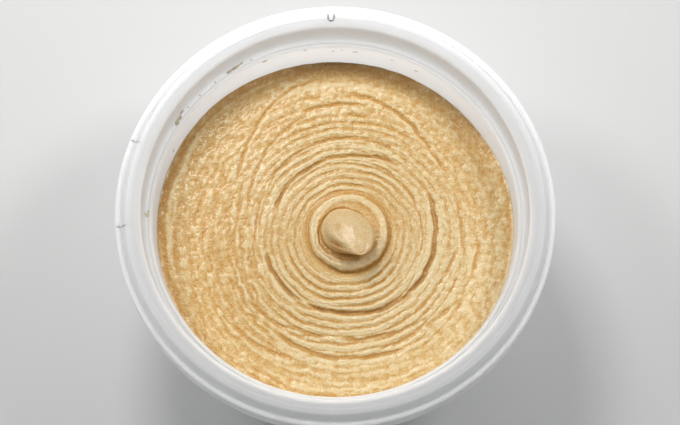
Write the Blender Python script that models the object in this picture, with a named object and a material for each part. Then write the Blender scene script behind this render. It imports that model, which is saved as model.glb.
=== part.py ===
"""Hummus in a round plastic tub, at its real size in metres, standing on Z = 0.

Two pieces share the tub's axis: the tub, a thin turned shell with a stepped rim,
and the hummus, a turned filling whose top is swirled and ends in a leaning peak.
"""

import math

import bmesh
import bpy
from mathutils import Vector

MM = 0.001

# Driving dimensions of the tub.
RIM_HEIGHT = 54.0 * MM
LIP_RADIUS = 58.5 * MM
WALL = 0.9 * MM
WALL_DRAFT = math.tan(math.radians(4.9))
SEGMENTS = 64

# Sealing flange: the flat ring that a lid or a film closes on.
FLANGE_INNER_RADIUS = 51.55 * MM
FLANGE_OUTER_RADIUS = 55.8 * MM

# Ledge: the narrow step inside the neck, where the tapering body begins.
LEDGE_RADIUS = 49.2 * MM
LEDGE_HEIGHT = 45.95 * MM
NECK_RADIUS = 51.15 * MM
NECK_ROUNDING = 1.3 * MM

# Shoulder and lip: a slope down from the flange to a shallow valley, then a low bead
# whose outer side runs down as a skirt.
VALLEY_RADIUS = 57.0 * MM
VALLEY_HEIGHT = 52.0 * MM
LIP_HEIGHT = 52.45 * MM
LIP_INNER_RADIUS = 57.5 * MM
LIP_ROUNDING = 0.5 * MM
SKIRT_BOTTOM = 45.2 * MM

# Base: a foot ring round a recessed floor.
FLOOR_HEIGHT = 2.0 * MM
FLOOR_ROUNDING = 5.0 * MM
FOOT_INNER_RADIUS = 38.9 * MM
FOOT_SLOPE = 0.6 * MM

EDGE_ROUNDING = 0.3 * MM
ARC_STEP = math.radians(46.0)

# Filling: its level at the wall, and the gap that keeps it off the tub.
GAP = 0.3 * MM
FILL_HEIGHT = 38.85 * MM
RINGS = 26
RING_CROWDING = 1.2

# Swirl: grooves turned round a centre beside the tub's axis, on a low mound.
SWIRL_CENTRE = Vector((3.5, -4.1)) * MM
MOUND_RISE = 1.2 * MM
GROOVES = {11.8 * MM: 1.0 * MM, 22.0 * MM: 0.8 * MM, 30.0 * MM: 0.6 * MM, 38.0 * MM: 0.4 * MM}
GROOVE_WIDTH = 1.8 * MM
GROOVE_WANDER = 0.8 * MM
GROOVE_LOBES = 3

# Peak: a soft dome drawn out into a nose that leans over its own foot.
PEAK_RADIUS = 7.4 * MM
PEAK_HEIGHT = 7.0 * MM
PEAK_LEAN = Vector((3.4, -5.6)) * MM
PEAK_FULLNESS = 0.75

TUB_COLOUR = (0.86, 0.87, 0.87, 1.0)
HUMMUS_COLOUR = (0.74, 0.52, 0.27, 1.0)
MERGE_DISTANCE = 0.001 * MM


def clear_scene():
    for item in list(bpy.data.objects):
        bpy.data.objects.remove(item, do_unlink=True)


def plain_material(name, colour, roughness):
    material = bpy.data.materials.new(name)
    material.use_nodes = True
    shader = material.node_tree.nodes["Principled BSDF"]
    shader.inputs["Base Color"].default_value = colour
    shader.inputs["Roughness"].default_value = roughness
    shader.inputs["Metallic"].default_value = 0.0
    return material


def wall_radius(height):
    """Radius of the tub's inner wall below the ledge."""
    return LEDGE_RADIUS - (LEDGE_HEIGHT - height) * WALL_DRAFT


def arc(before, corner, after, rounding):
    """Points of an arc of the given radius, tangent to both legs of a corner."""
    back = (before - corner).normalized()
    ahead = (after - corner).normalized()
    half = back.angle(ahead) / 2.0
    centre = corner + (back + ahead).normalized() * rounding / math.sin(half)
    start = corner + back * rounding / math.tan(half) - centre
    end = corner + ahead * rounding / math.tan(half) - centre
    sweep = math.pi - 2.0 * half
    steps = max(1, math.ceil(sweep / ARC_STEP))
    points = []
    for step in range(steps + 1):
        share = step / steps
        swung = start * math.sin((1.0 - share) * sweep) + end * math.sin(share * sweep)
        points.append(centre + swung / math.sin(sweep))
    return points


def rounded(corners):
    """Outline through (radius, height, rounding) corners, with each rounding as an arc."""
    places = [Vector(corner[:2]) for corner in corners]
    points = [places[0]]
    for index in range(1, len(corners) - 1):
        rounding = corners[index][2]
        if rounding > 0.0:
            points += arc(places[index - 1], places[index], places[index + 1], rounding)
        else:
            points.append(places[index])
    points.append(places[-1])
    return points


def tub_outline():
    """Half section of the tub, from the floor's centre over the rim to the base's centre."""
    base_radius = wall_radius(0.0) + WALL
    ledge_under = LEDGE_HEIGHT - WALL
    flange_under = RIM_HEIGHT - WALL
    valley_under = VALLEY_HEIGHT - WALL
    skirt_inner = LIP_RADIUS - WALL
    recess = FLOOR_HEIGHT - WALL
    return rounded([
        (0.0, FLOOR_HEIGHT, 0.0),
        (wall_radius(FLOOR_HEIGHT), FLOOR_HEIGHT, FLOOR_ROUNDING),
        (LEDGE_RADIUS, LEDGE_HEIGHT, 0.0),
        (NECK_RADIUS, LEDGE_HEIGHT, NECK_ROUNDING),
        (FLANGE_INNER_RADIUS, RIM_HEIGHT, EDGE_ROUNDING),
        (FLANGE_OUTER_RADIUS, RIM_HEIGHT, EDGE_ROUNDING * 2.0),
        (VALLEY_RADIUS, VALLEY_HEIGHT, 0.0),
        (LIP_INNER_RADIUS, LIP_HEIGHT, 0.0),
        (LIP_RADIUS, LIP_HEIGHT, LIP_ROUNDING),
        (LIP_RADIUS, SKIRT_BOTTOM, 0.0),
        (skirt_inner, SKIRT_BOTTOM, 0.0),
        (skirt_inner, valley_under, 0.0),
        (VALLEY_RADIUS - WALL, valley_under, 0.0),
        (FLANGE_OUTER_RADIUS - WALL, flange_under, 0.0),
        (FLANGE_INNER_RADIUS + WALL, flange_under, 0.0),
        (NECK_RADIUS + WALL, ledge_under, NECK_ROUNDING),
        (LEDGE_RADIUS + WALL, ledge_under, 0.0),
        (base_radius, 0.0, FLOOR_ROUNDING),
        (FOOT_INNER_RADIUS, 0.0, 0.0),
        (FOOT_INNER_RADIUS - FOOT_SLOPE, recess, 0.0),
        (0.0, recess, 0.0),
    ])


def hummus_outline():
    """Half section of the filling with a flat top, from its top centre to its base centre."""
    base = FLOOR_HEIGHT + GAP
    edge = wall_radius(FILL_HEIGHT) - GAP
    shares = [(ring / RINGS) ** RING_CROWDING for ring in range(RINGS)]
    top = [Vector((edge * share, FILL_HEIGHT)) for share in shares]
    side = rounded([
        (edge, FILL_HEIGHT, 0.0),
        (wall_radius(base) - GAP, base, FLOOR_ROUNDING - GAP),
        (0.0, base, 0.0),
    ])
    return top + side


def turned(name, outline):
    """One closed body made by spinning a half section right round the Z axis."""
    mesh = bpy.data.meshes.new(name)
    shape = bmesh.new()
    section = [shape.verts.new((point.x, 0.0, point.y)) for point in outline]
    edges = [shape.edges.new(pair) for pair in zip(section, section[1:])]
    bmesh.ops.spin(
        shape, geom=section + edges, cent=(0.0, 0.0, 0.0), axis=(0.0, 0.0, 1.0),
        angle=2.0 * math.pi, steps=SEGMENTS, use_merge=True,
    )
    bmesh.ops.remove_doubles(shape, verts=shape.verts, dist=MERGE_DISTANCE)
    bmesh.ops.recalc_face_normals(shape, faces=shape.faces)
    shape.to_mesh(mesh)
    shape.free()
    item = bpy.data.objects.new(name, mesh)
    bpy.context.collection.objects.link(item)
    return item


def smooth_step(value):
    """Ease from 0 to 1 as the value goes from 0 to 1, and hold outside that."""
    held = min(1.0, max(0.0, value))
    return held * held * (3.0 - 2.0 * held)


def groove_depth(radius, angle):
    """Depth of the swirl's grooves at a place given from the swirl's centre."""
    wander = GROOVE_WANDER * math.sin(GROOVE_LOBES * angle)
    depth = 0.0
    for groove, deep in GROOVES.items():
        off = (radius - groove - wander * groove / LEDGE_RADIUS) / GROOVE_WIDTH
        depth += deep * math.exp(-off * off)
    return depth


def swirl_top(place, edge):
    """Where a place on the flat top goes on the swirled one.

    Rings about the tub's axis at the wall become rings about the swirl's centre
    further in. Inside the peak they also slide sideways as they rise.
    """
    radius = place.length
    share = radius / edge
    angle = math.atan2(place.y, place.x)
    spot = place + SWIRL_CENTRE * (1.0 - share)
    rise = MOUND_RISE * smooth_step((edge - radius) / (edge - PEAK_RADIUS))
    rise -= groove_depth(radius, angle)
    inside = 1.0 - radius / PEAK_RADIUS
    if inside > 0.0:
        rise += PEAK_HEIGHT * math.sin(inside * math.pi / 2.0) ** PEAK_FULLNESS
        spot = spot + PEAK_LEAN * inside
    return Vector((spot.x, spot.y, FILL_HEIGHT + rise))


def make_tub():
    tub = turned("tub", tub_outline())
    tub.data.materials.append(plain_material("tub_plastic", TUB_COLOUR, 0.4))
    tub.data.shade_smooth()
    tub.data.set_sharp_from_angle(angle=math.radians(50.0))
    return tub


def make_hummus():
    hummus = turned("hummus", hummus_outline())
    edge = wall_radius(FILL_HEIGHT) - GAP
    for vertex in hummus.data.vertices:
        place = Vector(vertex.co[:2])
        on_top = abs(vertex.co.z - FILL_HEIGHT) < MERGE_DISTANCE
        if on_top and place.length < edge - MERGE_DISTANCE:
            vertex.co = swirl_top(place, edge)
    hummus.data.materials.append(plain_material("hummus_paste", HUMMUS_COLOUR, 0.55))
    hummus.data.shade_smooth()
    hummus.data.set_sharp_from_angle(angle=math.radians(60.0))
    return hummus


def main():
    clear_scene()
    make_tub()
    make_hummus()


main()
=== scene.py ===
"""Looks of an open round tub of hummus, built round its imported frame.

The tub is turned from a half section. The hummus is a fine grid drawn in to a disc,
raised by a swirl of ridges and grooves, and pulled up into a leaning peak. A small
raised loop, two seams and a few dried smears are made as pieces of their own.
"""

import math

import bmesh
import bpy
import numpy as np
from mathutils import Matrix, Vector


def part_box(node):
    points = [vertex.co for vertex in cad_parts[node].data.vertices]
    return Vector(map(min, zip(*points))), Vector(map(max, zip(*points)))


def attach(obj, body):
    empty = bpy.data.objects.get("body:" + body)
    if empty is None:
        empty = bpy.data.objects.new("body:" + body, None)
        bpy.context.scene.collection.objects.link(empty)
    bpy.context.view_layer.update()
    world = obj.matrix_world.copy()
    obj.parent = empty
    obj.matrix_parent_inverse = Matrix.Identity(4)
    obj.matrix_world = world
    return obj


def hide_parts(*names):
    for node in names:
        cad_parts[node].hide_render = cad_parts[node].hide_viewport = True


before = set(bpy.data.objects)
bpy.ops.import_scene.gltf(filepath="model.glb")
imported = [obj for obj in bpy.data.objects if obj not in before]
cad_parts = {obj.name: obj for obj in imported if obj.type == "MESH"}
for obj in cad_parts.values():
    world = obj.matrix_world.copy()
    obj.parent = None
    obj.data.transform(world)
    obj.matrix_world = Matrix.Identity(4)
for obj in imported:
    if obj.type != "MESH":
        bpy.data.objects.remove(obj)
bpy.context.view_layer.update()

bl_info = {
    "name": "Hummus Tub",
    "version": (1, 0, 0),
    "blender": (4, 5, 0),
    "location": "3D View > Sidebar > Hummus Tub",
    "description": "Builds an open tub of swirled hummus and a plain studio round it",
    "category": "Object",
}

MM = 0.001
TUB_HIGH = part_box("tub")[1]
FILL_LOW, FILL_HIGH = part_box("hummus")
MERGE_DISTANCE = 0.001 * MM

# The frame's filling stops short of the tub; this one goes down to its floor and just into its wall.
FLOOR_GAP = 0.3 * MM
WALL_REACH = 0.42 * MM
SIDE_DROP = 1.5 * MM

# Section of the tub, measured in from the lip or down from the rim.
WALL = 0.9 * MM
WALL_DRAFT = math.tan(math.radians(4.9))
FLANGE_IN = 6.95 * MM
FLANGE_OUT = 2.75 * MM
FLANGE_BEVEL = 0.35 * MM
SEAL_WIDTH = 1.5 * MM
SEAL_RISE = 0.1 * MM
NECK_IN = 7.3 * MM
NECK_ROUNDING = 1.1 * MM
LEDGE_IN = 9.3 * MM
LEDGE_DROP = 8.05 * MM
LEDGE_STEP_IN = 8.3 * MM
LEDGE_STEP_RISE = 0.14 * MM
VALLEY_IN = 1.7 * MM
VALLEY_DROP = 2.3 * MM
LIP_CREST_IN = 0.85 * MM
LIP_CREST_DROP = 1.55 * MM
LIP_ROUNDING = 0.45 * MM
SKIRT_DROP = 8.8 * MM
SKIRT_HEM = 0.25 * MM
FLOOR_RISE = 2.0 * MM
FLOOR_ROUNDING = 5.0 * MM
FOOT_IN = 19.6 * MM
FOOT_SLOPE = 0.6 * MM
GATE_RADIUS = 2.4 * MM
GATE_DEPTH = 0.35 * MM
HAIRLINE = 0.05 * MM
SCORE = 0.16 * MM
EDGE_ROUNDING = 0.18 * MM
SOFT_ROUNDING = 0.5 * MM
ARC_STEP = math.radians(16.0)

# Mark and seams moulded on the rim.
MARK_BEARING = math.radians(-1.6)
MARK_RADIUS = 54.25 * MM
MARK_WIDTH = 1.55 * MM
MARK_LEG = 1.3 * MM
MARK_LINE = 0.36 * MM
MARK_RISE = 0.24 * MM
SEAM_BEARINGS = (math.radians(-95.3), math.radians(-70.9))
SEAM_WIDTH = 0.22 * MM
SEAM_RISE = 0.08 * MM

# Paste surface, in millimetres.
PEAK_CENTRE = (2.3, -2.7)
PEAK_WANDER = 0.25
DENT_PLACE = (-3.3, -1.3)
DENT_DEPTH = 0.9
MOAT_OFFSET = 0.1
MOAT_WIDTH = 0.34
COIL_CENTRE = (3.6, -2.6)
COIL_RADIUS = 10.8
COIL_RISE = 1.5
COIL_CORD_PITCH = 1.25
SWIRL_CENTRE = (3.6, -3.6)
SWIRL_MOUND = 0.7
SPIRAL_PITCH = 2.05
CREASE_WIDTH = 0.3
WALL_SINK = 2.2
WALL_MARGIN = 0.5
CENTRE_CROWDING = 0.2
RELIEF_REACHES = (1, 2, 3)
# Painted shade towards the far left of the paste and painted light towards its near right.
PAINTED_LIGHT_SLANT = 0.03

# Grooves that the nozzle left, as arcs about the swirl's centre: from and to in degrees,
# anticlockwise from +X, then the radii at even steps along the arc, the width and the depth.
GROOVES = (
    (52, 165, (24.6, 23.6, 22.6, 21.9, 20.9), 0.85, 0.95),
    (15, 104, (19.6, 20.6, 21.4, 21.8, 21.4), 0.6, 0.4),
    (-30, 30, (19.6, 19.8, 20.4), 0.55, 0.3),
    (-125, 34, (22.2, 21.3, 22.4, 23.3, 25.6), 0.95, 1.2),
    (188, 240, (22.6, 22.3, 22.2), 0.9, 1.0),
    (58, 150, (27.0, 28.4, 28.3, 27.6, 26.0), 0.75, 0.6),
    (146, 196, (26.4, 25.4, 24.8), 0.6, 0.35),
    (104, 170, (37.2, 35.4, 32.6, 29.8, 28.0), 0.8, 0.4),
    (100, 156, (46.6, 45.0, 41.0, 37.0, 34.0), 0.7, 0.42),
    (30, 94, (33.0, 33.4, 36.6, 40.0, 41.2), 0.8, 0.6),
    (82, 112, (38.2, 38.6, 38.4), 0.6, 0.5),
    (76, 98, (34.8, 35.2, 35.2), 0.6, 0.5),
    (-12, 26, (31.0, 30.7, 31.6), 0.8, 0.35),
    (-58, 0, (28.6, 27.4, 28.2, 29.8), 0.8, 0.35),
    (-44, 4, (35.6, 34.6, 35.8), 1.0, 0.35),
    (-98, -44, (28.4, 28.8, 31.0), 0.9, 0.75),
    (-128, -60, (32.6, 33.4, 33.6, 34.0), 1.0, 0.75),
    (-150, -96, (33.0, 30.0, 27.8), 0.9, 0.5),
    (-150, -112, (41.0, 38.6, 37.0), 1.0, 0.45),
    (-94, -22, (36.2, 31.8, 36.4), 1.0, 0.4),
)

# Dabs: bearing in degrees clockwise from the far side, radius and height in millimetres, how far
# the skin there leans back from level, then length round the tub, width and thickness.
DABS = (
    (-90.0, 50.5, 46.3, 45, 1.1, 1.9, 0.5), (-88.9, 50.3, 46.1, 30, 0.6, 0.6, 0.3),
    (-58.8, 50.7, 46.5, 45, 1.5, 1.3, 0.45), (-57.2, 50.8, 46.7, 55, 1.9, 1.1, 0.5),
    (-55.3, 51.1, 47.2, 75, 1.6, 0.8, 0.35), (-52.6, 50.8, 46.6, 50, 0.6, 0.5, 0.3),
    (-47.4, 50.7, 46.5, 45, 0.4, 0.5, 0.25), (-41.0, 50.6, 46.4, 45, 0.6, 0.4, 0.25),
    (-35.6, 50.7, 46.5, 45, 1.7, 0.8, 0.4), (-33.2, 50.8, 46.6, 50, 2.6, 0.9, 0.4),
    (-31.0, 50.9, 46.8, 60, 1.5, 0.6, 0.3), (-27.6, 50.7, 46.5, 45, 0.7, 0.4, 0.25),
    (-23.8, 49.1, 45.3, 80, 1.6, 0.5, 0.25), (-10.2, 49.1, 45.2, 85, 1.2, 0.35, 0.16),
    (-1.0, 48.8, 43.7, 85, 1.0, 0.4, 0.16), (1.8, 48.9, 44.4, 85, 0.7, 0.35, 0.14),
    (6.0, 48.8, 43.9, 85, 1.6, 0.4, 0.16), (18.5, 48.8, 43.6, 85, 0.8, 0.4, 0.14),
    (27.0, 48.7, 42.9, 85, 1.3, 0.4, 0.16), (-66.0, 48.6, 42.2, 85, 1.1, 0.7, 0.2),
    (148.0, 48.7, 42.8, 85, 1.6, 0.8, 0.2), (163.0, 48.5, 41.6, 85, 1.2, 0.9, 0.2),
)

# Stage.
LIP_PLANE = 52.45 * MM
AIM_RIGHT = 1.235 * MM
AIM_DOWN = 0.907 * MM
LAMP_TINT = (1.0, 0.99, 0.975)
WORLD_TINT = (0.96, 0.98, 1.0, 1.0)


# Half sections and turned bodies ---------------------------------------------------

def arc(before, corner, after, rounding):
    """Points of an arc of the given radius, tangent to both legs of a corner."""
    back = (before - corner).normalized()
    ahead = (after - corner).normalized()
    half = back.angle(ahead) / 2.0
    centre = corner + (back + ahead).normalized() * rounding / math.sin(half)
    start = corner + back * rounding / math.tan(half) - centre
    end = corner + ahead * rounding / math.tan(half) - centre
    sweep = math.pi - 2.0 * half
    steps = max(2, math.ceil(sweep / ARC_STEP))
    points = []
    for step in range(steps + 1):
        share = step / steps
        swung = start * math.sin((1.0 - share) * sweep) + end * math.sin(share * sweep)
        points.append(centre + swung / math.sin(sweep))
    return points


def rounded(corners):
    """Outline through (radius, height, rounding) corners, with each rounding as an arc."""
    places = [Vector(corner[:2]) for corner in corners]
    points = [places[0]]
    for index in range(1, len(corners) - 1):
        rounding = corners[index][2]
        if rounding > 0.0:
            points += arc(places[index - 1], places[index], places[index + 1], rounding)
        else:
            points.append(places[index])
    points.append(places[-1])
    return points


def spun(name, outline, steps):
    """A closed body made by spinning a half section round the Z axis."""
    shape = bmesh.new()
    section = [shape.verts.new((point.x, 0.0, point.y)) for point in outline]
    edges = [shape.edges.new(pair) for pair in zip(section, section[1:])]
    bmesh.ops.spin(
        shape, geom=section + edges, cent=(0.0, 0.0, 0.0), axis=(0.0, 0.0, 1.0),
        angle=2.0 * math.pi, steps=steps, use_merge=True,
    )
    bmesh.ops.remove_doubles(shape, verts=shape.verts, dist=MERGE_DISTANCE)
    bmesh.ops.recalc_face_normals(shape, faces=shape.faces)
    return finished(name, shape)


def finished(name, shape):
    """Turns a bmesh into a smooth-shaded object at the origin."""
    mesh = bpy.data.meshes.new(name)
    shape.to_mesh(mesh)
    shape.free()
    mesh.shade_smooth()
    piece = bpy.data.objects.new(name, mesh)
    bpy.context.scene.collection.objects.link(piece)
    return piece


def tub_outline(tub):
    """Half section of the tub, from the floor's centre over the rim to the base's centre."""
    lip = tub.lip_radius
    rim = tub.height
    ledge_radius = lip - LEDGE_IN
    step_radius = lip - LEDGE_STEP_IN
    ledge = rim - LEDGE_DROP
    step = ledge + LEDGE_STEP_RISE
    neck = lip - NECK_IN
    flange_in = lip - FLANGE_IN
    flange_out = lip - FLANGE_OUT
    seal = flange_out - FLANGE_BEVEL - SEAL_WIDTH
    low = rim - SEAL_RISE
    valley = rim - VALLEY_DROP
    hem = rim - SKIRT_DROP
    floor_radius = ledge_radius - (ledge - FLOOR_RISE) * WALL_DRAFT
    base_radius = ledge_radius - ledge * WALL_DRAFT + WALL
    foot = lip - FOOT_IN
    recess = FLOOR_RISE - WALL
    return rounded([
        (0.0, FLOOR_RISE, 0.0),
        (floor_radius, FLOOR_RISE, FLOOR_ROUNDING),
        (ledge_radius - SCORE * 0.3, ledge - SCORE * 3.0, HAIRLINE),
        (ledge_radius + SCORE, ledge - SCORE * 2.0, HAIRLINE),
        (ledge_radius + SCORE, ledge, HAIRLINE),
        (step_radius - LEDGE_STEP_RISE, ledge, HAIRLINE),
        (step_radius, step, HAIRLINE),
        (neck, step, NECK_ROUNDING),
        (flange_in - SCORE * 0.2, low - SCORE * 2.0, HAIRLINE),
        (flange_in + SCORE, low - SCORE * 1.5, HAIRLINE),
        (flange_in + SCORE, low, HAIRLINE),
        (seal, low, HAIRLINE),
        (seal + SEAL_RISE, rim, HAIRLINE),
        (flange_out - FLANGE_BEVEL, rim, EDGE_ROUNDING),
        (flange_out, rim - FLANGE_BEVEL, EDGE_ROUNDING),
        (lip - VALLEY_IN, valley, EDGE_ROUNDING * 2.0),
        (lip - LIP_CREST_IN, rim - LIP_CREST_DROP, EDGE_ROUNDING * 2.0),
        (lip, rim - LIP_CREST_DROP, LIP_ROUNDING),
        (lip - SKIRT_HEM, hem + WALL * 2.0, HAIRLINE),
        (lip, hem + WALL * 1.6, HAIRLINE),
        (lip, hem, EDGE_ROUNDING),
        (lip - WALL - SKIRT_HEM, hem, EDGE_ROUNDING),
        (lip - WALL - SKIRT_HEM, valley - WALL, SOFT_ROUNDING * 0.5),
        (lip - VALLEY_IN - WALL, valley - WALL, SOFT_ROUNDING * 0.5),
        (flange_out - WALL, low - WALL, SOFT_ROUNDING * 0.5),
        (flange_in + WALL, low - WALL, SOFT_ROUNDING),
        (neck + WALL, ledge - WALL, NECK_ROUNDING),
        (ledge_radius + WALL, ledge - WALL, SOFT_ROUNDING * 0.5),
        (base_radius, 0.0, FLOOR_ROUNDING),
        (foot, 0.0, EDGE_ROUNDING),
        (foot - FOOT_SLOPE, recess, SOFT_ROUNDING),
        (GATE_RADIUS, recess, HAIRLINE),
        (GATE_RADIUS - GATE_DEPTH, recess - GATE_DEPTH, HAIRLINE),
        (0.0, recess - GATE_DEPTH, 0.0),
    ])


# The paste's surface, in millimetres ------------------------------------------------

def cell_value(i, j, seed):
    """Repeatable numbers from 0 to 1 for whole-numbered cells."""
    mix = i.astype(np.int64) * 374761393 + j.astype(np.int64) * 668265263 + seed * 974634777
    mix = mix & 0xFFFFFFFF
    mix = ((mix ^ (mix >> 13)) * 1274126177) & 0xFFFFFFFF
    mix = (mix ^ (mix >> 16)) & 0xFFFFFFFF
    return mix / 4294967295.0


def noise(x, y, seed):
    """Smooth gradient noise, from about -1 to 1."""
    i, j = np.floor(x), np.floor(y)
    u, v = x - i, y - j
    ease_u = u * u * u * (u * (u * 6.0 - 15.0) + 10.0)
    ease_v = v * v * v * (v * (v * 6.0 - 15.0) + 10.0)
    total = np.zeros_like(x)
    for di in (0, 1):
        for dj in (0, 1):
            turn = 2.0 * np.pi * cell_value(i + di, j + dj, seed)
            slope = np.cos(turn) * (u - di) + np.sin(turn) * (v - dj)
            weight_u = ease_u if di else 1.0 - ease_u
            weight_v = ease_v if dj else 1.0 - ease_v
            total += slope * weight_u * weight_v
    return total * 1.5


def layered(x, y, seed, layers):
    """Noise with finer and weaker layers added."""
    total = np.zeros_like(x)
    for layer in range(layers):
        total += noise(x * 2.0 ** layer, y * 2.0 ** layer, seed + 17 * layer) * 0.5 ** layer
    return total


def eased(low, high, x):
    """0 below low, 1 above high, and a smooth rise between."""
    share = np.clip((x - low) / (high - low), 0.0, 1.0)
    return share * share * (3.0 - 2.0 * share)


def groove(rho, turn, first, last, radii, width, depth, wander):
    """Depth of one groove, with a centre line through its radii and ends that fade out."""
    middle = (first + last) / 2.0
    unwrapped = (turn - middle + 180.0) % 360.0 - 180.0 + middle
    share = (unwrapped - first) / (last - first)
    stops = np.linspace(0.0, 1.0, len(radii))
    line = np.polyval(np.polyfit(stops, radii, len(radii) - 1), np.clip(share, 0.0, 1.0))
    length = math.radians(last - first) * sum(radii) / len(radii)
    fade = 6.0 / length
    ends = eased(0.0, fade, share) * eased(0.0, fade, 1.0 - share)
    off = rho - line - wander
    off = np.where(off < 0.0, off / (0.45 * width), off / (0.9 * width))
    return depth * ends * np.exp(-off * off)


def drag(rho, turn, across, along, seed):
    """Noise drawn out round the swirl: across in mm, along in cells to the radian."""
    spun_x = np.radians((turn + 180.0) % 360.0)
    spun_y = np.radians(turn % 360.0)
    share = eased(-0.6, 0.6, np.cos(np.radians(turn)))
    first = noise(rho / across, spun_x * along, seed)
    second = noise(rho / across, spun_y * along, seed + 1)
    mixed = first * share + second * (1.0 - share)
    return mixed / np.sqrt(share ** 2 + (1.0 - share) ** 2)


def cords(ring, pitch):
    """Rounded cords of paste side by side: 1 down in the narrow creases, 0 on the tops."""
    off = np.abs((ring / pitch) % 1.0 - 0.5) * pitch
    narrow = np.exp(-(off / CREASE_WIDTH) ** 2)
    broad = 0.5 + 0.5 * np.cos(2.0 * np.pi * off / pitch)
    return 0.6 * narrow + 0.4 * broad


def facing(turn, middle, reach):
    """1 at a bearing, and down to 0 at a reach to either side of it, in degrees."""
    off = np.abs((turn - middle + 180.0) % 360.0 - 180.0)
    return 1.0 - eased(0.25 * reach, reach, off)


def coil_height(x, y):
    """Height of the low coil of paste round the foot of the peak, and a mask of its groove depth and
    painted shade.
    """
    dx, dy = x - COIL_CENTRE[0], y - COIL_CENTRE[1]
    rho = np.maximum(np.hypot(dx, dy), 0.1)
    turn = np.degrees(np.arctan2(dy, dx))
    edge = COIL_RADIUS + 0.4 * noise(dx / rho * 1.6, dy / rho * 1.6, 5) + 0.15 * noise(x / 1.4, y / 1.4, 6)
    step = eased(-0.45, 0.55, edge - rho)
    lower_right = facing(turn, -48.0, 115.0)
    lower_left = facing(turn, -150.0, 75.0)
    # crease round the coil's edge, deepest at the lower right; it and the strands' creases also take
    # painted shade, most where the light falls off
    crease_shade = (0.15 + 0.85 * lower_right) * np.exp(-((rho - edge - 0.25) / 0.34) ** 2)
    strands = (0.06 + 0.34 * lower_left) * cords(rho + 0.4 * noise(x / 3.0, y / 3.0, 15), COIL_CORD_PITCH)
    strands *= eased(7.4, 8.2, rho) * step
    crown = (0.3 * np.exp(-((rho - 9.6) / 1.3) ** 2) + 0.07 * layered(x / 1.4, y / 1.4, 53, 2)) * step
    cuts_and_shade = np.maximum(0.75 * crease_shade, strands)
    return COIL_RISE * (0.75 + 0.25 * lower_right) * step + crown - cuts_and_shade, cuts_and_shade


def swirl_height(x, y):
    """Height of the paste over its level at the wall, without the peak, and a mask of its groove depth and
    painted shade.
    """
    dx, dy = x - SWIRL_CENTRE[0], y - SWIRL_CENTRE[1]
    rho = np.maximum(np.hypot(dx, dy), 0.1)
    turn = np.degrees(np.arctan2(dy, dx))
    from_axis = np.hypot(x, y)
    coarse = eased(-12.0, -27.0, x + 0.25 * y)
    wander = 0.34 * layered(x / 5.0, y / 5.0, 11, 2) + 0.12 * noise(x / 1.5, y / 1.5, 13)
    rise = SWIRL_MOUND * (1.0 - eased(8.0, 46.0, rho))
    # placed grooves, narrow towards the centre and easing off outwards
    # the grooves' depth also sets painted shade in them
    cuts_and_shade = np.zeros_like(rho)
    for first, last, radii, width, depth in GROOVES:
        cuts_and_shade = np.maximum(cuts_and_shade, groove(rho, turn, first, last, radii, width, depth, wander))
    cuts_and_shade *= 0.85 + 0.45 * drag(rho, turn, 6.0, 3.0, 37)
    # cords laid down in a spiral
    ring = rho + SPIRAL_PITCH * turn / 360.0
    ring += 1.1 * noise(dx / rho * 1.7, dy / rho * 1.7, 21) + 0.35 * layered(x / 6.0, y / 6.0, 8, 2)
    strength = 0.25 + 0.75 * facing(turn, -92.0, 95.0) + 0.5 * facing(turn, 96.0, 75.0)
    strength *= 0.45 + 0.75 * eased(-0.6, 0.5, drag(rho, turn, 4.0, 1.3, 31))
    outside = eased(12.0, 13.4, rho)
    zone = outside * (1.0 - 0.9 * eased(30.0, 40.0, rho + 4.0 * noise(x / 9.0, y / 9.0, 41)))
    zone *= 1.0 - 0.55 * coarse
    beyond = eased(21.0, 24.0, rho)
    fine = (0.52 - 0.12 * beyond) * zone * strength * cords(ring, SPIRAL_PITCH)
    # the cords' creases also take painted shade
    cuts_and_shade = np.maximum(cuts_and_shade, fine)
    # shorter strands dragged round by the nozzle, coarser on the left
    strands = drag(rho + 2.5 * wander, turn + 4.0 * wander, 0.95, 4.0, 71)
    lower = facing(turn, -110.0, 95.0) * beyond
    rise += (0.10 + 0.04 * coarse + 0.06 * lower) * strands * outside
    rise += 0.10 * coarse * drag(rho + 2.5 * wander, turn, 2.2, 4.0, 77)
    rise += 0.13 * lower * drag(rho + wander, turn, 1.5, 2.6, 83)
    outer = eased(28.0, 36.0, rho)
    rise += 0.06 * layered(x / 1.8, y / 1.8, 51, 2) * outside * (1.0 + beyond * (1.0 - 0.6 * lower))
    rise += 0.13 * noise(x / 3.2, y / 4.2, 57) * np.maximum(outer, coarse)
    # the paste sinks a little at the far right of the wall and takes a painted shadow of the rim there;
    # along the left wall it drops a little and takes painted shade
    away = np.degrees(np.arctan2(x, y))
    sunk_and_shadowed = eased(39.5, 47.0, from_axis) * eased(-62.0, 0.0, away) * (1.0 - eased(48.0, 80.0, away))
    rise -= WALL_SINK * sunk_and_shadowed
    shaded_margin = eased(45.2, 47.2, from_axis) * facing(away, -80.0, 95.0)
    rise -= WALL_MARGIN * shaded_margin
    rise += 0.035 * layered(x / 0.8, y / 0.8, 61, 2) * outside
    rise = (rise - cuts_and_shade) * outside + SWIRL_MOUND * (1.0 - outside)
    coil, coil_cuts_and_shade = coil_height(x, y)
    # the rim's painted shadow at the far right edge and the painted shade along the left wall join the mask
    # of groove depth and shade
    return rise + coil, np.maximum(cuts_and_shade * outside, coil_cuts_and_shade) + 0.6 * sunk_and_shadowed + 0.5 * shaded_margin


def disc_from_square(x, y):
    """A square grid's points drawn in to a disc, with no fold along its diagonals."""
    return x * np.sqrt(1.0 - y * y / 2.0), y * np.sqrt(1.0 - x * x / 2.0)


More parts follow.
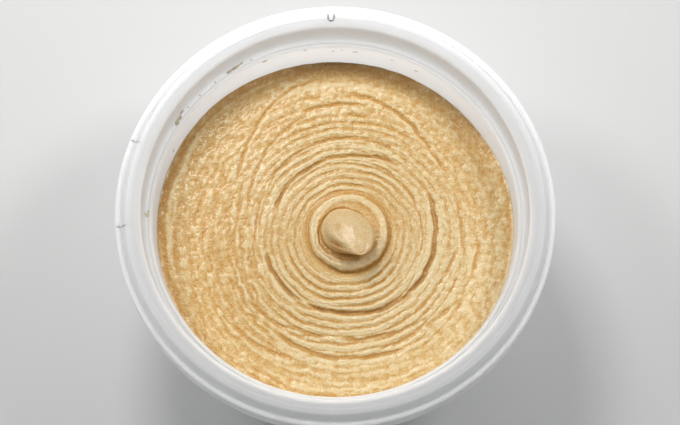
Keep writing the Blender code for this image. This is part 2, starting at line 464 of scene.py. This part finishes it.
def paste_surface(x, y, peak):
    """Where the disc's points go on the swirled surface, how deeply each is grooved, and how much painted
    shade it takes.

    Inside the peak's foot the points close in to the tip as they climb, and slide
    sideways further and further, so the nose leans out over its own foot.
    """
    rise, cuts_and_shade = swirl_height(x, y)
    dx, dy = x - PEAK_CENTRE[0], y - PEAK_CENTRE[1]
    rho = np.hypot(dx, dy)
    turn = np.degrees(np.arctan2(dy, dx))
    foot = peak.radius + PEAK_WANDER * noise(dx / np.maximum(rho, 0.1), dy / np.maximum(rho, 0.1), 95)
    share = np.clip(rho / foot, 1e-6, 1.0)
    up = 1.0 - share
    moat = np.exp(-((rho - foot - MOAT_OFFSET) / MOAT_WIDTH) ** 2)
    moat *= 0.2 + 0.4 * facing(turn, 125.0, 120.0)
    rise = rise - moat
    # painted shade in the moat round the peak's foot
    cuts_and_shade = np.maximum(cuts_and_shade, 0.8 * moat)
    inside = rho < foot
    dent = np.exp(-((dx - DENT_PLACE[0]) ** 2 / 0.8 + (dy - DENT_PLACE[1]) ** 2 / 0.9))
    bulge = 0.24 * np.sin(up * np.pi) * (1.0 - eased(0.3, 0.9, up))
    tucked = 0.32 * facing(turn, -125.0, 100.0) * np.sin(up * np.pi)
    width = (np.cos(up * np.pi / 2.0) ** 1.1 + bulge) * (1.0 - tucked)
    climb = 0.85 * np.sin(up * np.pi / 2.0 * 1.2) + 0.15 * up
    lean = 1.3 * up ** 1.3 - 0.3 * up ** 4.5
    skin = 0.22 * noise(dx / 3.0 + 7.3, dy / 3.0 - 2.1, 91)
    skin = skin + 0.06 * layered(dx / 0.9, dy / 0.9, 93, 2)
    out_x = np.where(inside, PEAK_CENTRE[0] + dx / share * width + peak.lean_x * lean, x)
    out_y = np.where(inside, PEAK_CENTRE[1] + dy / share * width + peak.lean_y * lean, y)
    drawn_up = peak.height * climb + skin * np.sqrt(up) - DENT_DEPTH * dent
    rise = np.where(inside, rise + drawn_up, rise)
    # painted shade on the peak: a little darker all over above its foot, darker in the dent, and darkest
    # under the overhanging nose
    below = facing(turn, -75.0, 100.0) * eased(0.05, 0.2, up) * (1.0 - eased(0.45, 0.65, up))
    cuts_and_shade = np.where(inside, 0.6 * eased(0.0, 0.3, up) + 0.7 * dent + 0.8 * below, cuts_and_shade)
    return out_x, out_y, rise, cuts_and_shade


def relief(rise):
    """How far each grid point lies under the mean of its neighbourhood."""
    side = int(round(math.sqrt(rise.size)))
    field = rise.reshape(side, side)
    mean = field
    for reach in RELIEF_REACHES:
        padded = np.pad(mean, reach, mode="edge")
        total = np.zeros_like(field)
        for di in (0, reach, 2 * reach):
            for dj in (0, reach, 2 * reach):
                total += padded[di:di + side, dj:dj + side]
        mean = total / 9.0
    return (mean - field).ravel()


class PeakSizes:
    """The peak's sizes in millimetres."""

    def __init__(self, settings):
        self.radius = settings.peak_radius / MM
        self.height = settings.peak_height / MM
        self.lean_x = settings.peak_lean[0] / MM
        self.lean_y = settings.peak_lean[1] / MM


def make_paste(settings):
    """The whole filling: a swirled top, and a plain body down to the tub's floor."""
    cells = settings.cells
    shape = bmesh.new()
    bmesh.ops.create_grid(shape, x_segments=cells, y_segments=cells, size=1.0)
    shape.verts.ensure_lookup_table()
    square = np.array([vertex.co[:2] for vertex in shape.verts])
    edge = settings.edge_radius / MM
    disc_x, disc_y = disc_from_square(square[:, 0], square[:, 1])
    crowding = np.hypot(disc_x, disc_y) ** CENTRE_CROWDING
    disc_x, disc_y = disc_x * crowding, disc_y * crowding
    x, y, rise, cuts_and_shade = paste_surface(disc_x * edge, disc_y * edge, PeakSizes(settings))
    radius = np.hypot(disc_x, disc_y)
    level = settings.level / MM
    edge_lift = 0.25 * noise(disc_x * 9.0, disc_y * 9.0, 81) + 0.2
    rise = rise + edge_lift * eased(0.985, 1.0, radius)
    # painted shade in hollows and painted light on ridges, from the relief; painted shade towards the far
    # left and painted light towards the near right
    crease_shade = relief(rise) + PAINTED_LIGHT_SLANT - 2.0 * PAINTED_LIGHT_SLANT * eased(0.0, 60.0, x - y)
    off_swirl = np.hypot(x - SWIRL_CENTRE[0], y - SWIRL_CENTRE[1])
    drawn = eased(10.8, 12.4, off_swirl) * (1.0 - 0.75 * eased(26.0, 38.0, off_swirl))
    drawn *= 1.0 - 0.7 * eased(-12.0, -27.0, x)
    for vertex, px, py, up in zip(shape.verts, x, y, rise):
        vertex.co = (px * MM, py * MM, (level + up) * MM)
    for name, values in (("crease_shade", crease_shade), ("cut_shade", cuts_and_shade), ("drawn", drawn)):
        store = shape.verts.layers.float.new(name)
        for vertex, value in zip(shape.verts, values):
            vertex[store] = value
    close_below(shape, settings)
    bmesh.ops.recalc_face_normals(shape, faces=shape.faces)
    return finished("hummus_filling", shape)


def close_below(shape, settings):
    """Runs the disc's rim down the wall to the floor and closes it there."""
    rim = [edge for edge in shape.edges if edge.is_boundary]
    floor = FILL_LOW.z - FLOOR_GAP
    levels = (settings.level - SIDE_DROP, floor + FLOOR_ROUNDING, floor + 0.3 * FLOOR_ROUNDING, floor)
    inward = (0.0, 0.0, 0.3 * FLOOR_ROUNDING, FLOOR_ROUNDING)
    for height, inset in zip(levels, inward):
        grown = bmesh.ops.extrude_edge_only(shape, edges=rim)["geom"]
        rim = [item for item in grown if isinstance(item, bmesh.types.BMEdge)]
        radius = settings.edge_radius - (settings.level - height) * WALL_DRAFT - inset
        for vertex in (item for item in grown if isinstance(item, bmesh.types.BMVert)):
            flat = Vector((vertex.co.x, vertex.co.y)).normalized() * radius
            vertex.co = (flat.x, flat.y, height)
    bmesh.ops.edgeloop_fill(shape, edges=rim)


# Small details on the tub ------------------------------------------------------------

def set_at(bearing, radius, height, lean):
    """Frame on the tub's skin: X runs round the tub, Z stands off the skin."""
    place = Matrix.Translation((0.0, radius, height)) @ Matrix.Rotation(lean, 4, "X")
    return Matrix.Rotation(-bearing, 4, "Z") @ place


def make_dabs():
    """Small dabs of paste left on the neck, the ledge and the wall."""
    shape = bmesh.new()
    for bearing, radius, height, lean, long, wide, thick in DABS:
        frame_here = set_at(math.radians(bearing), radius * MM, height * MM, math.radians(lean))
        half = Matrix.Diagonal((long * MM / 2.0, wide * MM / 2.0, thick * MM / 2.0, 1.0))
        ball = bmesh.ops.create_uvsphere(
            shape, u_segments=20, v_segments=12, radius=1.0, matrix=frame_here @ half,
        )
        middle = frame_here.translation
        for vertex in ball["verts"]:
            off = (vertex.co - middle) / MM
            swell = noise(np.array([off.x * 2.2 + bearing]), np.array([off.z * 2.2 + off.y]), 7)[0]
            vertex.co = middle + off * MM * (1.0 + 0.35 * swell)
    bmesh.ops.recalc_face_normals(shape, faces=shape.faces)
    return finished("hummus_dabs", shape)


def make_mark(tub):
    """A small open loop, raised on the flange at the far side."""
    shape = bmesh.new()
    level = tub.height - SEAL_RISE
    place = set_at(MARK_BEARING, MARK_RADIUS, level, 0.0)
    side = MARK_WIDTH / 2.0
    upright = Matrix.Translation((side, 0.0, 0.0)) @ Matrix.Rotation(math.pi / 2.0, 4, "X")
    stretch = Matrix.Diagonal((MARK_LINE / 2.0, MARK_RISE, 1.0, 1.0))
    bmesh.ops.create_grid(shape, x_segments=1, y_segments=1, size=1.0, matrix=upright @ stretch)
    start = shape.faces[:]
    turned = bmesh.ops.spin(
        shape, geom=shape.verts[:] + shape.edges[:] + start, cent=(0.0, 0.0, 0.0),
        axis=(0.0, 0.0, 1.0), angle=-math.pi, steps=12,
    )
    ends = start + [item for item in turned["geom_last"] if isinstance(item, bmesh.types.BMFace)]
    for end in ends:
        grown = bmesh.ops.extrude_face_region(shape, geom=[end])["geom"]
        tips = [item for item in grown if isinstance(item, bmesh.types.BMVert)]
        bmesh.ops.translate(shape, verts=tips, vec=(0.0, MARK_LEG, 0.0))
    spare = [face for face in shape.faces if all(not edge.is_manifold for edge in face.edges)]
    bmesh.ops.delete(shape, geom=spare, context="FACES_ONLY")
    bmesh.ops.transform(shape, matrix=place, verts=shape.verts)
    bmesh.ops.recalc_face_normals(shape, faces=shape.faces)
    return finished("tub_mark", shape)


def make_seams(tub):
    """Thin raised seams across the rim's outer slope and bead, on the left."""
    lip, rim = tub.lip_radius, tub.height
    skin = (
        (lip - FLANGE_OUT - FLANGE_BEVEL, rim), (lip - FLANGE_OUT, rim - FLANGE_BEVEL),
        (lip - VALLEY_IN, rim - VALLEY_DROP), (lip - LIP_CREST_IN, rim - LIP_CREST_DROP),
        (lip - LIP_ROUNDING, rim - LIP_CREST_DROP), (lip - 0.08 * MM, rim - LIP_CREST_DROP - 0.4 * MM),
    )
    shape = bmesh.new()
    for bearing in SEAM_BEARINGS:
        over = [shape.verts.new((-SEAM_WIDTH / 2.0, radius, height + SEAM_RISE)) for radius, height in skin]
        under = [
            shape.verts.new((-SEAM_WIDTH / 2.0, radius - SEAM_RISE, height - 0.3 * MM))
            for radius, height in reversed(skin)
        ]
        flat = shape.faces.new(over + under)
        grown = bmesh.ops.extrude_face_region(shape, geom=[flat], use_keep_orig=True)["geom"]
        moved = [item for item in grown if isinstance(item, bmesh.types.BMVert)]
        bmesh.ops.translate(shape, verts=moved, vec=(SEAM_WIDTH, 0.0, 0.0))
        turn = Matrix.Rotation(-bearing, 4, "Z")
        bmesh.ops.transform(shape, matrix=turn, verts=over + under + moved)
    bmesh.ops.recalc_face_normals(shape, faces=shape.faces)
    return finished("tub_seams", shape)


# Materials --------------------------------------------------------------------------

def blank_material(name):
    """A material with its Principled shader, and the tree that holds it."""
    material = bpy.data.materials.new(name)
    material.use_nodes = True
    return material, material.node_tree, material.node_tree.nodes["Principled BSDF"]


def add(tree, kind, **values):
    """A node of the given kind, with its plain settings and input values."""
    node = tree.nodes.new(kind)
    for key, value in values.items():
        if hasattr(node, key):
            setattr(node, key, value)
        else:
            node.inputs[key.replace("_", " ")].default_value = value
    return node


def join(tree, source, target):
    """Links an output to an input."""
    tree.links.new(source, target)


def blend_colours(tree, factor, low, high):
    """Mixes two colours or colour outputs by a factor output."""
    mix = add(tree, "ShaderNodeMix", data_type="RGBA", clamp_factor=True)
    join(tree, factor, mix.inputs["Factor"])
    for side, value in (("A", low), ("B", high)):
        socket = next(s for s in mix.inputs if s.name == side and s.type == "RGBA")
        if isinstance(value, bpy.types.NodeSocket):
            join(tree, value, socket)
        else:
            socket.default_value = (*value[:3], 1.0)
    return next(s for s in mix.outputs if s.type == "RGBA")


def remap(tree, source, from_low, from_high, to_low=0.0, to_high=1.0):
    """A clamped straight-line remap of a value output."""
    node = add(tree, "ShaderNodeMapRange", clamp=True)
    join(tree, source, node.inputs["Value"])
    for name, value in (
        ("From Min", from_low), ("From Max", from_high), ("To Min", to_low), ("To Max", to_high),
    ):
        node.inputs[name].default_value = value
    return node.outputs["Result"]


def maths(tree, operation, first, second):
    """A Math node of two inputs, each an output or a number."""
    node = add(tree, "ShaderNodeMath", operation=operation)
    for index, value in enumerate((first, second)):
        if isinstance(value, bpy.types.NodeSocket):
            join(tree, value, node.inputs[index])
        else:
            node.inputs[index].default_value = value
    return node.outputs["Value"]


def mottle_group():
    """Node group: broad patches, fine grain and sparse specks in object space."""
    name = "mottle"
    if name in bpy.data.node_groups:
        return bpy.data.node_groups[name]
    group = bpy.data.node_groups.new(name, "ShaderNodeTree")
    for label, default in (("Patch Size", 0.006), ("Grain Size", 0.0008)):
        socket = group.interface.new_socket(label, in_out="INPUT", socket_type="NodeSocketFloat")
        socket.default_value = default
    for label in ("Patches", "Grain", "Specks"):
        group.interface.new_socket(label, in_out="OUTPUT", socket_type="NodeSocketFloat")
    inlet = group.nodes.new("NodeGroupInput")
    outlet = group.nodes.new("NodeGroupOutput")
    place = group.nodes.new("ShaderNodeTexCoord")
    patch_scale = maths(group, "DIVIDE", 1.0, inlet.outputs["Patch Size"])
    grain_scale = maths(group, "DIVIDE", 1.0, inlet.outputs["Grain Size"])
    patches = add(group, "ShaderNodeTexNoise", Detail=3.0, Roughness=0.6)
    grain = add(group, "ShaderNodeTexNoise", Detail=2.0, Roughness=0.55)
    specks = add(group, "ShaderNodeTexVoronoi", feature="F1", Randomness=1.0)
    for node, scale in ((patches, patch_scale), (grain, grain_scale), (specks, grain_scale)):
        join(group, place.outputs["Object"], node.inputs["Vector"])
        join(group, scale, node.inputs["Scale"])
    join(group, patches.outputs[0], outlet.inputs["Patches"])
    join(group, grain.outputs[0], outlet.inputs["Grain"])
    spots = remap(group, specks.outputs["Distance"], 0.12, 0.3, 1.0, 0.0)
    join(group, spots, outlet.inputs["Specks"])
    return group


def placed_group(tree, group, **values):
    """A node that holds a group, with its input values set."""
    node = tree.nodes.new("ShaderNodeGroup")
    node.node_tree = group
    for key, value in values.items():
        node.inputs[key.replace("_", " ")].default_value = value
    return node


def bump(tree, height, strength, distance, shader, below=None):
    """A Bump node on a height output, on top of another bump if one is given."""
    node = add(tree, "ShaderNodeBump")
    node.inputs["Strength"].default_value = strength
    node.inputs["Distance"].default_value = distance
    join(tree, height, node.inputs["Height"])
    if below is not None:
        join(tree, below, node.inputs["Normal"])
    join(tree, node.outputs["Normal"], shader.inputs["Normal"])
    return node.outputs["Normal"]


def fine_rings(tree):
    """Fine rings round the swirl's centre, strongest where the paste was drawn round."""
    place = tree.nodes.new("ShaderNodeTexCoord")
    shift = add(tree, "ShaderNodeMapping", vector_type="POINT")
    shift.inputs["Location"].default_value = (-SWIRL_CENTRE[0] * MM, -SWIRL_CENTRE[1] * MM, 0.0)
    join(tree, place.outputs["Object"], shift.inputs["Vector"])
    rings = add(
        tree, "ShaderNodeTexWave", wave_type="RINGS", rings_direction="Z", Scale=360.0,
        Distortion=5.0, Detail=2.0, Detail_Scale=1.1,
    )
    join(tree, shift.outputs["Vector"], rings.inputs["Vector"])
    drawn = add(tree, "ShaderNodeAttribute", attribute_name="drawn").outputs["Fac"]
    return maths(tree, "MULTIPLY", rings.outputs["Fac"], drawn)


def paste_material(settings):
    """Moist chickpea paste with a fine grain: paler on the ridges as painted light, orange tan in the
    creases and darker in the grooves as painted shade, with painted glints for wet highlights.
    """
    material, tree, shader = blank_material("chickpea_paste")
    texture = placed_group(tree, mottle_group(), Patch_Size=0.0032, Grain_Size=0.00055)
    broad = placed_group(tree, mottle_group(), Patch_Size=0.016, Grain_Size=0.0009)
    crease_shade = add(tree, "ShaderNodeAttribute", attribute_name="crease_shade").outputs["Fac"]
    cut_shade = add(tree, "ShaderNodeAttribute", attribute_name="cut_shade").outputs["Fac"]
    rings = fine_rings(tree)
    # painted shade in hollows and painted light on ridges: the relief sets the tone from the paler ridge
    # colour through the body to the orange colour of the creases, with random tone added and the fine
    # rings' troughs painted darker
    tone = remap(tree, crease_shade, -0.10, 0.17)
    for source, low, high, reach in (
        (texture.outputs["Patches"], 0.32, 0.68, 0.07),
        (broad.outputs["Patches"], 0.35, 0.65, 0.06),
        (broad.outputs["Grain"], 0.34, 0.66, 0.07),
        (texture.outputs["Grain"], 0.34, 0.66, 0.14),
        (rings, 1.0, 0.0, 0.08),
    ):
        tone = maths(tree, "ADD", tone, remap(tree, source, low, high, -reach, reach))
    lower = blend_colours(tree, remap(tree, tone, 0.05, 0.45), settings.pale_and_lit, settings.body)
    colour = blend_colours(tree, remap(tree, tone, 0.45, 0.95), lower, settings.crease_shade)
    # painted shade: the darkest colour in the deepest grooves, the moat and the dent, under the nose,
    # across the peak, at the far right edge and along the left wall
    deep_shade = remap(tree, cut_shade, 0.25, 1.0, 0.0, 0.7)
    colour = blend_colours(tree, deep_shade, colour, settings.deep_shade)
    # painted highlight: glint-coloured specks, thicker in some patches, stand in for wet highlights
    glint_spread = remap(tree, broad.outputs["Grain"], 0.42, 0.62, 0.1, 0.75)
    glint_mask = maths(tree, "MULTIPLY", texture.outputs["Specks"], glint_spread)
    colour = blend_colours(tree, glint_mask, colour, settings.glint)
    join(tree, colour, shader.inputs["Base Color"])
    gloss = remap(tree, texture.outputs["Patches"], 0.3, 0.7, 0.3, 0.5)
    join(tree, gloss, shader.inputs["Roughness"])
    shader.inputs["Specular IOR Level"].default_value = 0.5
    shader.inputs["Subsurface Weight"].default_value = 0.2
    shader.inputs["Subsurface Radius"].default_value = (1.0, 0.55, 0.25)
    shader.inputs["Subsurface Scale"].default_value = 0.0008
    shader.inputs["Coat Weight"].default_value = 0.3
    shader.inputs["Coat Roughness"].default_value = 0.15
    ringed = bump(tree, rings, 0.35, 0.00025, shader)
    lumpy = bump(tree, broad.outputs["Grain"], 0.5, 0.0004, shader, ringed)
    bump(tree, texture.outputs["Grain"], 0.8, 0.00035, shader, lumpy)
    return material


def dried_material(settings):
    """A thin, half-dried smear of the paste, greyer in patches."""
    material, tree, shader = blank_material("dried_paste")
    texture = placed_group(tree, mottle_group(), Patch_Size=0.0012, Grain_Size=0.0004)
    shade = remap(tree, texture.outputs["Patches"], 0.35, 0.65)
    join(tree, blend_colours(tree, shade, settings.smear, settings.smear_thin), shader.inputs["Base Color"])
    shader.inputs["Roughness"].default_value = 0.5
    shader.inputs["Subsurface Weight"].default_value = 0.5
    shader.inputs["Subsurface Radius"].default_value = (1.0, 0.8, 0.6)
    shader.inputs["Subsurface Scale"].default_value = 0.0006
    bump(tree, texture.outputs["Grain"], 0.4, 0.0001, shader)
    return material


def plastic_material(settings):
    """White moulded plastic, faintly cool, with a satin skin and slight scuffs."""
    material, tree, shader = blank_material("moulded_plastic")
    texture = placed_group(tree, mottle_group(), Patch_Size=0.02, Grain_Size=0.0006)
    shade = remap(tree, texture.outputs["Patches"], 0.35, 0.65)
    colour = blend_colours(tree, shade, settings.plastic, settings.plastic_shade)
    join(tree, colour, shader.inputs["Base Color"])
    gloss = remap(tree, texture.outputs["Patches"], 0.3, 0.7, 0.28, 0.4)
    join(tree, gloss, shader.inputs["Roughness"])
    shader.inputs["Specular IOR Level"].default_value = 0.38
    shader.inputs["Subsurface Weight"].default_value = 1.0
    shader.inputs["Subsurface Radius"].default_value = (1.0, 1.0, 1.0)
    shader.inputs["Subsurface Scale"].default_value = 0.010
    bump(tree, texture.outputs["Grain"], 0.1, 0.00005, shader)
    return material


def floor_material(settings):
    """Plain pale floor that keeps the tub's shadow."""
    material, tree, shader = blank_material("pale_floor")
    texture = placed_group(tree, mottle_group(), Patch_Size=0.3, Grain_Size=0.004)
    tone = remap(tree, texture.outputs["Patches"], 0.3, 0.7)
    plain = blend_colours(tree, tone, settings.floor_colour, settings.floor_shade)
    path = tree.nodes.new("ShaderNodeLightPath")
    seen = maths(tree, "MAXIMUM", path.outputs["Is Camera Ray"], path.outputs["Is Glossy Ray"])
    seen = maths(tree, "MAXIMUM", seen, path.outputs["Is Transmission Ray"])
    colour = blend_colours(tree, seen, plain, settings.floor_seen)
    join(tree, colour, shader.inputs["Base Color"])
    shader.inputs["Roughness"].default_value = 0.85
    shader.inputs["Specular IOR Level"].default_value = 0.1
    return material


# Settings ---------------------------------------------------------------------------

def length(name, description, default):
    return bpy.props.FloatProperty(
        name=name, description=description, default=default, unit="LENGTH", precision=5,
    )


def colour(name, description, default):
    return bpy.props.FloatVectorProperty(
        name=name, description=description, default=default, subtype="COLOR", min=0.0, max=1.0,
    )


class HUMMUS_TubSettings(bpy.types.PropertyGroup):
    """Sizes and colours of the tub."""

    lip_radius: length("Lip radius", "From the axis to the lip's outer face", TUB_HIGH.x)
    height: length("Height", "From the foot ring to the sealing flange", TUB_HIGH.z)
    segments: bpy.props.IntProperty(name="Segments", description="Steps round the tub", default=256)
    plastic: colour("Plastic", "Colour of the plastic", (0.965, 0.975, 0.985))
    plastic_shade: colour("Plastic shade", "Colour of its faint patches", (0.945, 0.96, 0.975))


class HUMMUS_PasteSettings(bpy.types.PropertyGroup):
    """Sizes and colours of the hummus."""

    level: length("Level", "Height of the paste where it meets the wall", 38.85 * MM)
    edge_radius: length("Edge radius", "How far the paste reaches at that level", FILL_HIGH.x + WALL_REACH)
    cells: bpy.props.IntProperty(name="Cells", description="Grid cells along each side", default=296)
    peak_radius: length("Peak radius", "Radius of the peak's foot", 6.3 * MM)
    peak_height: length("Peak height", "Height of the peak over the swirl", 6.8 * MM)
    peak_lean: bpy.props.FloatVectorProperty(
        name="Peak lean", description="How far the tip leans along X and Y", size=2,
        default=(4.9 * MM, -8.0 * MM), unit="LENGTH",
    )
    # The ridge colour is partly painted light, the two groove colours are painted shade, and the glint
    # colour is a painted highlight.
    pale_and_lit: colour("Pale", "Colour of the ridges", (0.765, 0.60, 0.328))
    body: colour("Body", "Colour of the paste", (0.655, 0.434, 0.165))
    crease_shade: colour("Crease", "Colour of the shallow grooves", (0.56, 0.295, 0.06))
    deep_shade: colour("Deep", "Colour of the deepest grooves", (0.42, 0.21, 0.05))
    glint: colour("Glint", "Colour of the moist specks", (0.96, 0.86, 0.66))
    smear: colour("Smear", "Colour of dried smears on the tub", (0.58, 0.47, 0.29))
    smear_thin: colour("Thin smear", "Colour of the thinnest smears", (0.74, 0.68, 0.54))


class HUMMUS_StageSettings(bpy.types.PropertyGroup):
    """Floor, lamps and camera."""

    floor_colour: colour("Floor", "Colour of the floor", (0.78, 0.78, 0.78))
    floor_shade: colour("Floor shade", "Colour of its faint patches", (0.75, 0.75, 0.75))
    floor_seen: colour("Floor seen", "Colour of the floor in the picture", (0.67, 0.67, 0.67))
    floor_size: length("Floor size", "Half the floor's side", 3.0)
    distance: length("Camera distance", "From the middle of the lip", 8.0 * TUB_HIGH.x)
    elevation: bpy.props.FloatProperty(
        name="Elevation", description="Camera's height angle over the lip",
        default=math.radians(72.44), subtype="ANGLE",
    )
    roll: bpy.props.FloatProperty(
        name="Roll", description="Camera's turn about its own view", default=math.radians(0.86),
        subtype="ANGLE",
    )
    lens: bpy.props.FloatProperty(name="Lens", description="Focal length in mm", default=93.47)
    world_strength: bpy.props.FloatProperty(
        name="World strength", description="Strength of the light from all round", default=0.25,
    )
    main_power: bpy.props.FloatProperty(
        name="Main power", description="Watts of the lamp over the far side", default=1.12,
    )
    left_power: bpy.props.FloatProperty(
        name="Left power", description="Watts of the lamp on the left", default=0.66,
    )
    right_power: bpy.props.FloatProperty(
        name="Right power", description="Watts of the lamp on the right", default=0.76,
    )
    low_power: bpy.props.FloatProperty(
        name="Low power", description="Watts of the lamp low behind the tub", default=1.75,
    )


# Operators --------------------------------------------------------------------------

class HUMMUS_OT_tub(bpy.types.Operator):
    """Turns the tub and gives it its plastic"""

    bl_idname = "hummus_tub.tub"
    bl_label = "Make tub"

    def execute(self, context):
        settings = context.scene.hummus_tub
        tub = spun("tub_moulding", tub_outline(settings), settings.segments)
        tub.data.materials.append(plastic_material(settings))
        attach(tub, "root")
        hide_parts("tub")
        for detail in (make_mark(settings), make_seams(settings)):
            detail.data.materials.append(tub.data.materials[0])
            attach(detail, "root")
        return {"FINISHED"}


class HUMMUS_OT_paste(bpy.types.Operator):
    """Fills the tub with swirled hummus"""

    bl_idname = "hummus_tub.paste"
    bl_label = "Make hummus"

    def execute(self, context):
        settings = context.scene.hummus_paste
        paste = make_paste(settings)
        paste.data.materials.append(paste_material(settings))
        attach(paste, "root")
        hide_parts("hummus")
        dabs = make_dabs()
        dabs.data.materials.append(dried_material(settings))
        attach(dabs, "root")
        return {"FINISHED"}


def area_lamp(name, place, target, size, power, tint):
    """A soft lamp of a width and a height at a place, facing a target."""
    lamp = bpy.data.lights.new(name, "AREA")
    lamp.shape = "RECTANGLE"
    lamp.size, lamp.size_y = size
    lamp.energy = power
    lamp.color = tint
    item = bpy.data.objects.new(name, lamp)
    bpy.context.scene.collection.objects.link(item)
    item.location = place
    item.rotation_euler = (Vector(target) - Vector(place)).to_track_quat("-Z", "Y").to_euler()
    return item


class HUMMUS_OT_stage(bpy.types.Operator):
    """Adds the floor, the lamps, the world and the camera"""

    bl_idname = "hummus_tub.stage"
    bl_label = "Make stage"

    def execute(self, context):
        settings = context.scene.hummus_stage
        self.make_floor(settings)
        middle = (0.0, 0.0, TUB_HIGH.z)
        for name, place, size, power in (
            ("lamp_main", (-0.10, 0.28, 0.44), (0.15, 0.15), settings.main_power),
            ("lamp_left", (-0.30, 0.14, 0.40), (0.12, 0.12), settings.left_power),
            ("lamp_right", (0.28, 0.14, 0.40), (0.12, 0.12), settings.right_power),
            ("lamp_low", (0.0, 0.60, 0.055), (0.3, 0.08), settings.low_power),
        ):
            area_lamp(name, place, middle, size, power, LAMP_TINT)
        self.make_world(context, settings)
        self.make_camera(context, settings)
        context.scene.view_settings.view_transform = "Standard"
        return {"FINISHED"}

    def make_floor(self, settings):
        shape = bmesh.new()
        bmesh.ops.create_grid(shape, x_segments=1, y_segments=1, size=settings.floor_size)
        floor = finished("floor", shape)
        floor.data.materials.append(floor_material(settings))

    def make_world(self, context, settings):
        world = bpy.data.worlds.new("studio")
        world.use_nodes = True
        backdrop = world.node_tree.nodes["Background"]
        backdrop.inputs["Color"].default_value = WORLD_TINT
        backdrop.inputs["Strength"].default_value = settings.world_strength
        context.scene.world = world

    def make_camera(self, context, settings):
        """Looks down at the lip from the front, a little off its middle."""
        view = Vector((0.0, -math.cos(settings.elevation), math.sin(settings.elevation)))
        place = Vector((0.0, 0.0, LIP_PLANE)) + view * settings.distance
        right = Vector((1.0, 0.0, 0.0))
        up = view.cross(right)
        aim = Vector((0.0, 0.0, LIP_PLANE)) + right * AIM_RIGHT - up * AIM_DOWN
        aimed = (aim - place).to_track_quat("-Z", "Y").to_matrix().to_4x4()
        camera = bpy.data.cameras.new("camera")
        camera.lens = settings.lens
        camera.sensor_width = 36.0
        camera.clip_start = 0.01
        item = bpy.data.objects.new("camera", camera)
        context.scene.collection.objects.link(item)
        item.matrix_world = (
            Matrix.Translation(place) @ aimed @ Matrix.Rotation(settings.roll, 4, "Z")
        )
        context.scene.camera = item


class HUMMUS_PT_panel(bpy.types.Panel):
    """Lists the pieces to make"""

    bl_idname = "HUMMUS_PT_panel"
    bl_label = "Hummus Tub"
    bl_space_type = "VIEW_3D"
    bl_region_type = "UI"
    bl_category = "Hummus Tub"

    def draw(self, context):
        for operator in OPERATORS:
            self.layout.operator(operator.bl_idname)
        for name in SETTINGS:
            group = getattr(context.scene, name)
            for prop in group.bl_rna.properties:
                if prop.identifier not in {"rna_type", "name"}:
                    self.layout.prop(group, prop.identifier)


SETTINGS = {
    "hummus_tub": HUMMUS_TubSettings,
    "hummus_paste": HUMMUS_PasteSettings,
    "hummus_stage": HUMMUS_StageSettings,
}
OPERATORS = (HUMMUS_OT_tub, HUMMUS_OT_paste, HUMMUS_OT_stage)


def register():
    for item in (*SETTINGS.values(), *OPERATORS, HUMMUS_PT_panel):
        bpy.utils.register_class(item)
    for name, group in SETTINGS.items():
        setattr(bpy.types.Scene, name, bpy.props.PointerProperty(type=group))


def unregister():
    for name in SETTINGS:
        delattr(bpy.types.Scene, name)
    for item in reversed((*SETTINGS.values(), *OPERATORS, HUMMUS_PT_panel)):
        bpy.utils.unregister_class(item)


def main():
    register()
    bpy.ops.hummus_tub.tub()
    bpy.ops.hummus_tub.paste()
    bpy.ops.hummus_tub.stage()


if __name__ == "__main__":
    main()
